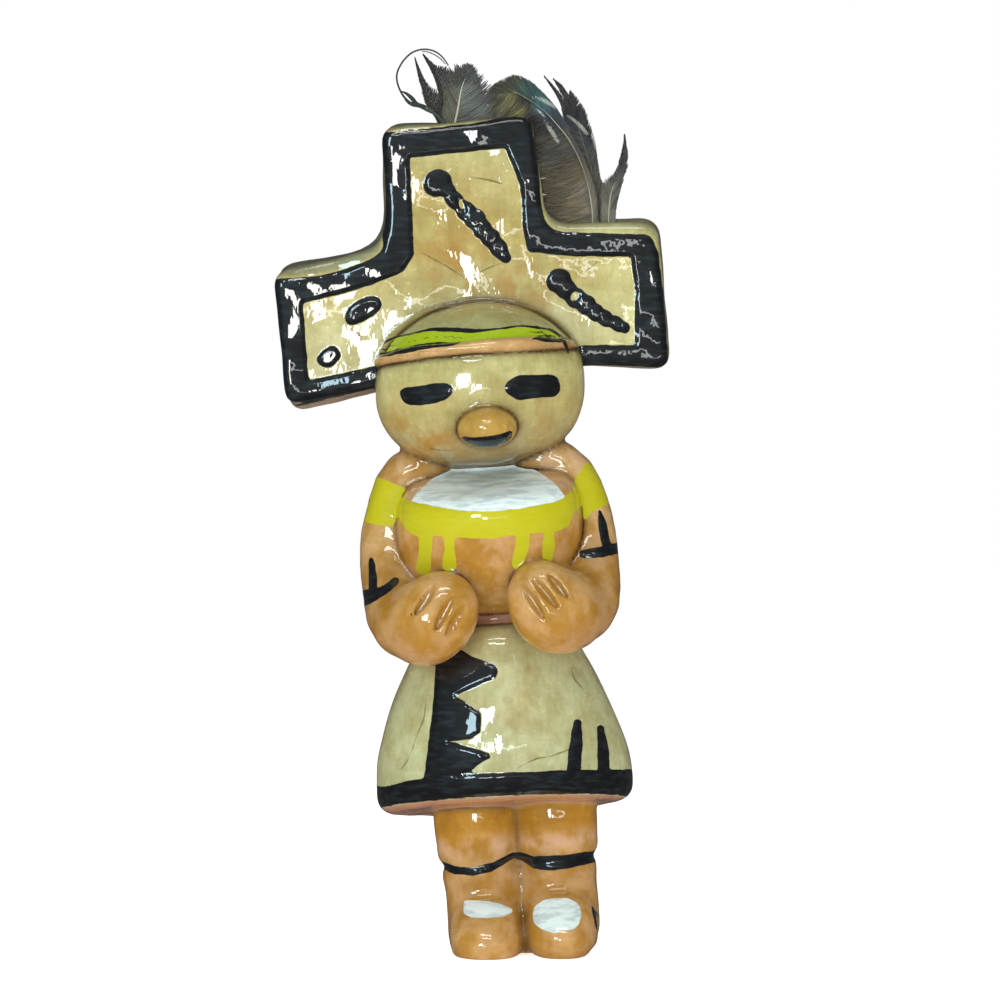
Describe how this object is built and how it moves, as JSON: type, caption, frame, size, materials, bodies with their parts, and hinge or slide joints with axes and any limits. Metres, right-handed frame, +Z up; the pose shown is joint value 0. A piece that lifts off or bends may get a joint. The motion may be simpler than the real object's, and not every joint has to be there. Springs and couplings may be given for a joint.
{
  "type": "clay kachina doll",
  "caption": "Hand-built glazed clay kachina figure holding a pot drum, with a stepped headdress and feathers in its top edge.",
  "frame": {"origin": "on the flat sole plane, where the two feet meet", "axes": "+Z up along the figure's height, -Y out of the figure's front, +X to the viewer's right when facing the front"},
  "size_m": [0.0713, 0.0396, 0.1639],
  "materials": {
    "glazed_clay": "thick clear gloss glaze over hand-painted khaki, ochre, black, yellow and white",
    "downy_feather": "soft grey-brown feather barbs",
    "barred_feather": "brown-black feather with pale bars and a slight teal sheen",
    "black_barb": "stiff black-green barb"
  },
  "bodies": {
    "root": {"clay_figure": "glazed_clay", "feather_grey_downy": "downy_feather", "feather_split_spikes": "downy_feather", "feather_curled_barb": "black_barb", "feather_long_arching": "barred_feather", "feather_barred_back": "barred_feather", "feather_short_right": "downy_feather"}
  },
  "joints": []
}
